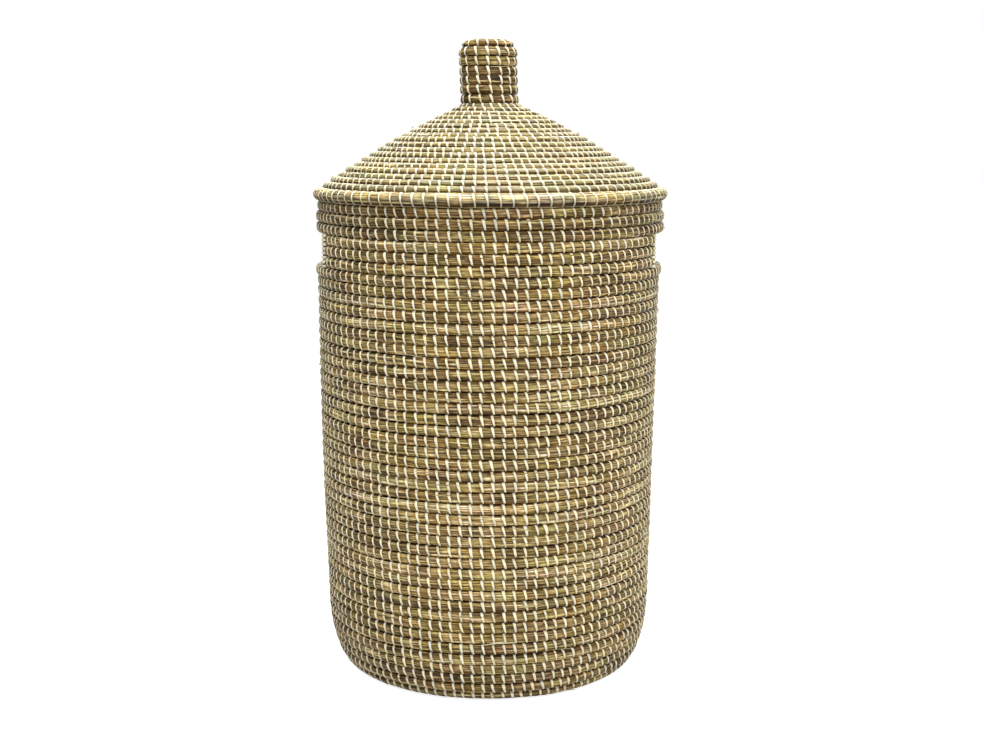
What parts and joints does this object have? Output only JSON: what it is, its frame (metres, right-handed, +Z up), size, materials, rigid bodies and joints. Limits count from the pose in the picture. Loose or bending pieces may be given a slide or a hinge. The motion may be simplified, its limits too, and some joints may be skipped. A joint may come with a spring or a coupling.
{
  "type": "coiled laundry basket with lid",
  "caption": "Round coiled sea-grass laundry basket with a rounded heel, two hand openings and a lift-off domed lid with a knob.",
  "frame": {"origin": "centre of the base's underside, on the floor", "axes": "+Z up along the basket's axis, hand openings facing +X and -X, front facing -Y"},
  "size_m": [0.4041, 0.4042, 0.7198],
  "materials": {
    "basket_coil": "matte dried sea grass, khaki and tan",
    "lid_coil": "matte dried sea grass, khaki and tan",
    "sewing_strip": "cream woven strip with a slight gloss"
  },
  "bodies": {
    "basket": {"base_centre": "basket_coil", "base_rows_inner": "basket_coil", "base_rows_middle": "basket_coil", "base_rows_outer": "basket_coil", "grip_row_1_back": "basket_coil", "grip_row_1_front": "basket_coil", "grip_row_2_back": "basket_coil", "grip_row_2_front": "basket_coil", "grip_row_3_back": "basket_coil", "grip_row_3_front": "basket_coil", "heel_row_1": "basket_coil", "heel_row_2": "basket_coil", "heel_row_3": "basket_coil", "heel_row_4": "basket_coil", "heel_row_5": "basket_coil", "heel_row_6": "basket_coil", "heel_row_7": "basket_coil", "opening_binding_left_back": "sewing_strip", "opening_binding_left_front": "sewing_strip", "opening_binding_right_back": "sewing_strip", "opening_binding_right_front": "sewing_strip", "rim_row_1": "basket_coil", "rim_row_2": "basket_coil", "rim_row_3": "basket_coil", "wall_rows_01_02": "basket_coil", "wall_rows_03_04": "basket_coil", "wall_rows_05_06": "basket_coil", "wall_rows_07_08": "basket_coil", "wall_rows_09_10": "basket_coil", "wall_rows_11_12": "basket_coil", "wall_rows_13_14": "basket_coil", "wall_rows_15_16": "basket_coil", "wall_rows_17_18": "basket_coil", "wall_rows_19_20": "basket_coil", "wall_rows_21_22": "basket_coil", "wall_rows_23_24": "basket_coil", "wall_rows_25_26": "basket_coil", "wall_rows_27_28": "basket_coil", "wall_rows_29_30": "basket_coil", "wall_rows_31_32": "basket_coil"},
    "lid": {"knob_cap_button": "lid_coil", "knob_cap_rows": "lid_coil", "knob_row_1": "lid_coil", "knob_row_2": "lid_coil", "knob_row_3": "lid_coil", "knob_row_4": "lid_coil", "knob_row_5": "lid_coil", "knob_row_6": "lid_coil", "lid_collar_rows": "lid_coil", "lid_rim_bead": "lid_coil", "lid_rows_01_02": "lid_coil", "lid_rows_03_04": "lid_coil", "lid_rows_05_06": "lid_coil", "lid_rows_07_08": "lid_coil", "lid_rows_09_10": "lid_coil", "lid_rows_11_12": "lid_coil", "lid_rows_13_14": "lid_coil", "lid_rows_15_16": "lid_coil", "lid_rows_17_18": "lid_coil"}
  },
  "joints": [
    {"name": "lid_lift", "type": "slide", "parent": "basket", "child": "lid", "axis": [0, 0, 1], "range_m": [0, 0.25]}
  ]
}
